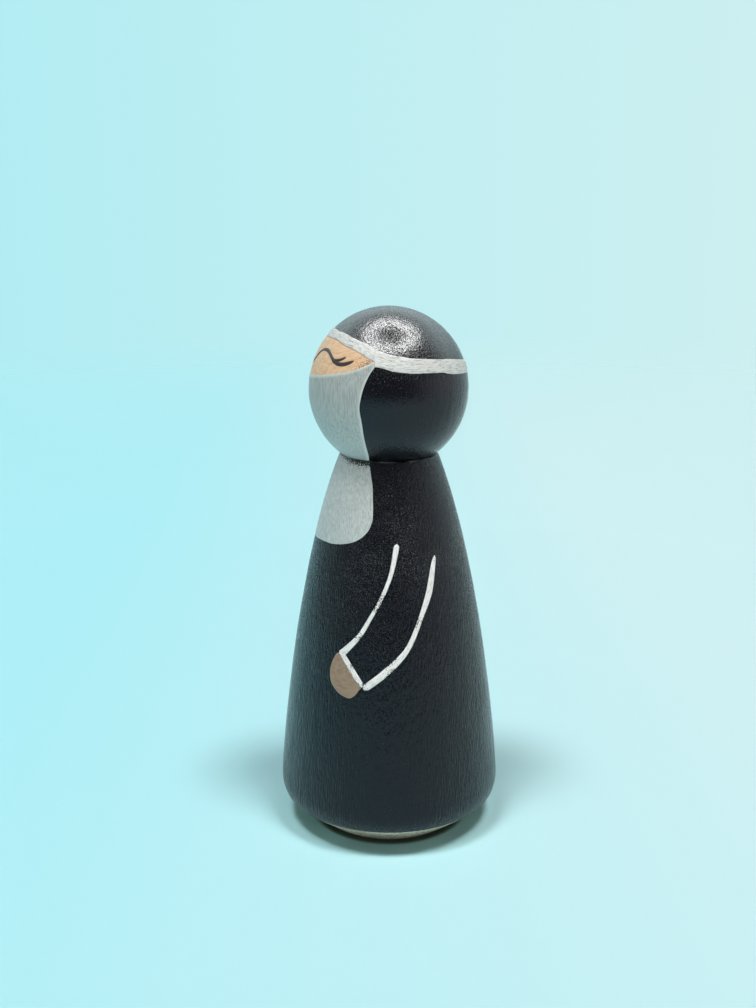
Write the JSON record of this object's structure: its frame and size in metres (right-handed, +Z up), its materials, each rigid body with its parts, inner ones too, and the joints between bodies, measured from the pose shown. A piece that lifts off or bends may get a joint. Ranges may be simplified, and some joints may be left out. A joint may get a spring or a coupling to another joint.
{
  "type": "peg doll",
  "caption": "Turned wooden peg doll with a ball head on a flared body, painted as a veiled figure in a black robe.",
  "frame": {"origin": "centre of the flat base that the doll stands on", "axes": "+Z up along the turning axis, face towards -Y, the doll's left side towards +X"},
  "size_m": [0.038, 0.038, 0.089],
  "materials": {
    "wood": "sanded, sealed under the paint and bare at the base",
    "dowel_wood": "plain dowel",
    "black_paint": "acrylic paint under gloss varnish, grain showing through",
    "grey_paint": "brushed acrylic paint under gloss varnish",
    "white_paint": "brushed acrylic paint under gloss varnish",
    "skin_paint": "acrylic paint under gloss varnish",
    "brown_paint": "acrylic paint under gloss varnish",
    "eye_paint": "thin acrylic stroke under gloss varnish"
  },
  "bodies": {
    "root": {"body": "wood", "head": "wood", "neck_dowel": "dowel_wood", "robe_coat": "black_paint", "bib": "grey_paint", "cap_coat": "black_paint", "scarf_coat": "black_paint", "headband": "white_paint", "face_patch": "skin_paint", "veil": "grey_paint", "left_eye": "eye_paint", "right_eye": "eye_paint", "left_sleeve_front": "white_paint", "right_sleeve_front": "white_paint", "left_sleeve_back": "white_paint", "right_sleeve_back": "white_paint", "left_cuff": "white_paint", "right_cuff": "white_paint", "left_hand": "brown_paint", "right_hand": "brown_paint"}
  },
  "joints": []
}
